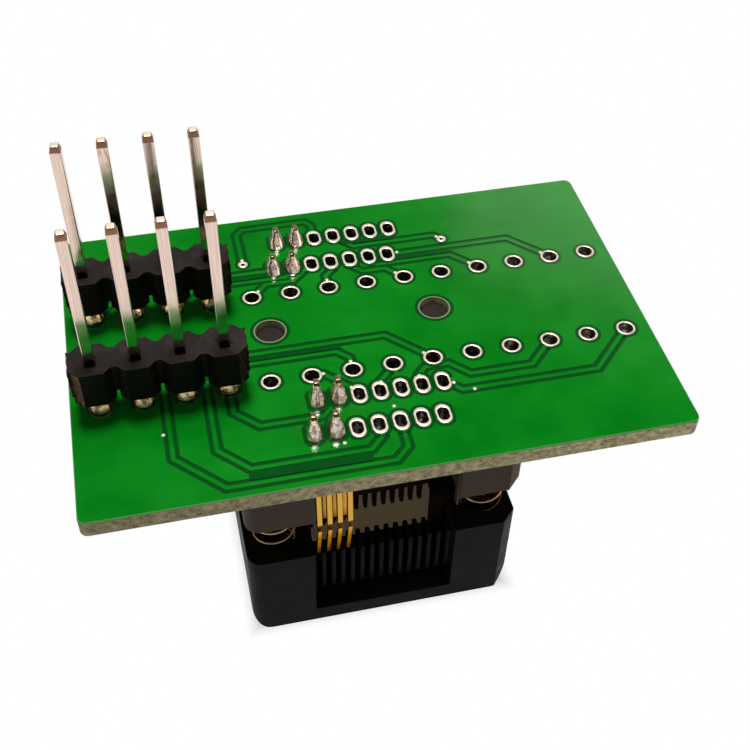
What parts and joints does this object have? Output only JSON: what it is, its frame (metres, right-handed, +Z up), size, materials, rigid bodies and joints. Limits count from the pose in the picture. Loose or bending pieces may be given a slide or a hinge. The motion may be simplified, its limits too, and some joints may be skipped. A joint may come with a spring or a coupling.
{
  "type": "ic socket adapter",
  "caption": "Spring-cover IC test socket on a small circuit board with two strips of square header pins, standing on its cover.",
  "frame": {"origin": "on the surface that the cover stands on, under the middle of the board's outline", "axes": "+X along the board towards the empty grid holes, +Y from the front row of holes to the back row, +Z up along the header pins"},
  "size_m": [0.0364, 0.0238, 0.0312],
  "materials": {
    "laminate": "glossy green solder mask on a glass-fibre board",
    "header_plastic": "moulded black",
    "pin_metal": "tin-plated, drawn square",
    "solder": "bright tin solder",
    "socket_plastic": "moulded black",
    "contact_gold": "gold-plated",
    "spring_steel": "bright wire"
  },
  "bodies": {
    "board": {"circuit_board": "laminate", "header_strip_front": "header_plastic", "header_strip_back": "header_plastic", "header_pin_front_1": "pin_metal", "header_pin_front_2": "pin_metal", "header_pin_front_3": "pin_metal", "header_pin_front_4": "pin_metal", "header_pin_back_1": "pin_metal", "header_pin_back_2": "pin_metal", "header_pin_back_3": "pin_metal", "header_pin_back_4": "pin_metal", "header_solder_front": "solder", "header_solder_back": "solder", "socket_base": "socket_plastic", "contact_front_1": "contact_gold", "contact_front_2": "contact_gold", "contact_front_3": "contact_gold", "contact_front_4": "contact_gold", "contact_back_1": "contact_gold", "contact_back_2": "contact_gold", "contact_back_3": "contact_gold", "contact_back_4": "contact_gold", "contact_solder_front": "solder", "contact_solder_back": "solder", "cover_spring_front_left": "spring_steel", "cover_spring_front_right": "spring_steel", "cover_spring_back_left": "spring_steel", "cover_spring_back_right": "spring_steel"},
    "cover": {"socket_cover": "socket_plastic"}
  },
  "joints": [
    {"name": "cover_press", "type": "slide", "parent": "board", "child": "cover", "axis": [0, 0, 1], "range_m": [0, 0.0024], "stiffness_N_per_m": 2000, "springref_m": -0.002, "deforming": ["cover_spring_front_left", "cover_spring_front_right", "cover_spring_back_left", "cover_spring_back_right", "contact_front_1", "contact_front_2", "contact_front_3", "contact_front_4", "contact_back_1", "contact_back_2", "contact_back_3", "contact_back_4"]}
  ]
}
